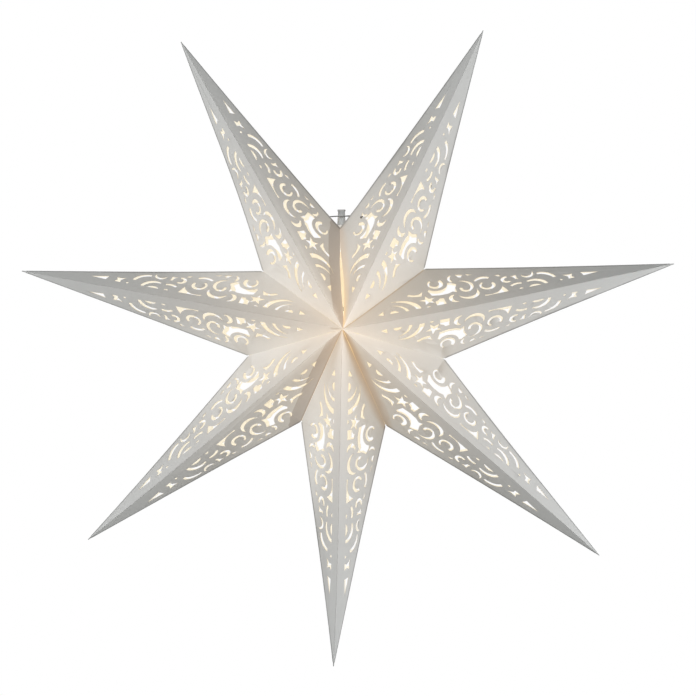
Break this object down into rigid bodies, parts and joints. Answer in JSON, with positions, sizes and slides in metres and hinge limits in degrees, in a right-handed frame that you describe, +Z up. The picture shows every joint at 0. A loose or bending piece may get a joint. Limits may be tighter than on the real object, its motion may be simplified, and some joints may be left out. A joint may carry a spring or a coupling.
{
  "type": "paper star lantern",
  "caption": "Hanging paper star lantern with long folded hollow points, scroll and star cut-outs, a wire hanger with a cord grip, and a screw-in lamp inside.",
  "frame": {"origin": "mouth of the cord grip's bore, on its axis, where the lantern hangs from its flex", "axes": "+Z up along the bore axis and the lamp axis, +X to the right as the lantern is seen from the front, +Y to the back"},
  "size_m": [0.6184, 0.1597, 0.6022],
  "materials": {
    "clear_plastic": "clear, slightly hazy moulding",
    "steel_wire": "drawn steel wire",
    "white_lead": "white flexible sheath",
    "brown_core": "brown core insulation",
    "blue_core": "blue core insulation",
    "white_plastic": "satin white moulding",
    "nylon": "natural nylon",
    "glazed_ceramic": "glazed ceramic",
    "brass": "bright pressed brass",
    "plated_steel": "nickel plated",
    "solder": "soft solder",
    "black_glass": "opaque black glass",
    "plated_cap": "nickel plated, pressed thread",
    "frosted_glass": "frosted inside",
    "clear_glass": "clear",
    "filament_gel": "phosphor coating, lit",
    "card": "uncoated white card, scored, cut and glued"
  },
  "bodies": {
    "lamp": {"cord_grip": "clear_plastic", "inner_lead": "white_lead", "live_core": "brown_core", "neutral_core": "blue_core", "holder_cap": "white_plastic", "clamp_screw": "nylon", "holder_insert": "glazed_ceramic", "live_terminal": "brass", "neutral_terminal": "brass", "terminal_screws": "plated_steel", "centre_contact": "brass", "contact_shell": "brass", "holder_barrel": "white_plastic"},
    "bulb_end": {"bulb_tip": "solder"},
    "bulb": {"bulb_insulator": "black_glass", "bulb_cap": "plated_cap", "bulb_globe": "frosted_glass", "bulb_stem": "clear_glass", "light_filaments": "filament_gel"},
    "star": {"hanger_wire": "steel_wire", "point_bottom": "card"},
    "lower_right_point": {"point_lower_right": "card"},
    "right_point": {"point_right": "card"},
    "top_right_point": {"point_top_right": "card"},
    "top_left_point": {"point_top_left": "card"},
    "left_point": {"point_left": "card"},
    "lower_left_point": {"point_lower_left": "card"}
  },
  "joints": [
    {"name": "star_swing", "type": "hinge", "parent": "lamp", "child": "star", "pos_m": [0, -0.00435, -0.0064], "axis": [1, 0, 0], "range_deg": [-6, 6]},
    {"name": "bulb_lift", "type": "slide", "parent": "lamp", "child": "bulb_end", "axis": [0, 0, -1], "range_m": [0, 0.00846]},
    {"name": "bulb_turn", "type": "hinge", "parent": "bulb_end", "child": "bulb", "pos_m": [0, 0, -0.09], "axis": [0, 0, -1], "range_deg": [0, 1081]},
    {"name": "fold_top_right", "type": "hinge", "parent": "star", "child": "top_right_point", "pos_m": [0.00469, -0.00435, -0.11529], "axis": [0, 1, 0], "range_deg": [0, 152.1], "deforming": ["point_bottom", "point_lower_right", "point_right", "point_top_right", "point_top_left", "point_left", "point_lower_left"]},
    {"name": "fold_lower_right", "type": "hinge", "parent": "star", "child": "lower_right_point", "pos_m": [0.00469, -0.00435, -0.11529], "axis": [0, 1, 0], "range_deg": [0, 48.51]},
    {"name": "fold_right", "type": "hinge", "parent": "star", "child": "right_point", "pos_m": [0.00469, -0.00435, -0.11529], "axis": [0, 1, 0], "range_deg": [0, 99.61]},
    {"name": "fold_lower_left", "type": "hinge", "parent": "star", "child": "lower_left_point", "pos_m": [0.00469, -0.00435, -0.11529], "axis": [0, 1, 0], "range_deg": [-47.31, 0]},
    {"name": "fold_left", "type": "hinge", "parent": "star", "child": "left_point", "pos_m": [0.00469, -0.00435, -0.11529], "axis": [0, 1, 0], "range_deg": [-94.61, 0]},
    {"name": "fold_top_left", "type": "hinge", "parent": "star", "child": "top_left_point", "pos_m": [0.00469, -0.00435, -0.11529], "axis": [0, 1, 0], "range_deg": [-141.91, 0]}
  ],
  "couplings": [
    {"joint": "bulb_turn", "follows": "bulb_lift", "rad_per_m": 2228.1},
    {"joint": "fold_lower_right", "follows": "fold_top_right", "ratio": 0.31887},
    {"joint": "fold_right", "follows": "fold_top_right", "ratio": 0.65483},
    {"joint": "fold_lower_left", "follows": "fold_top_right", "ratio": -0.31098},
    {"joint": "fold_left", "follows": "fold_top_right", "ratio": -0.62196},
    {"joint": "fold_top_left", "follows": "fold_top_right", "ratio": -0.93294}
  ]
}
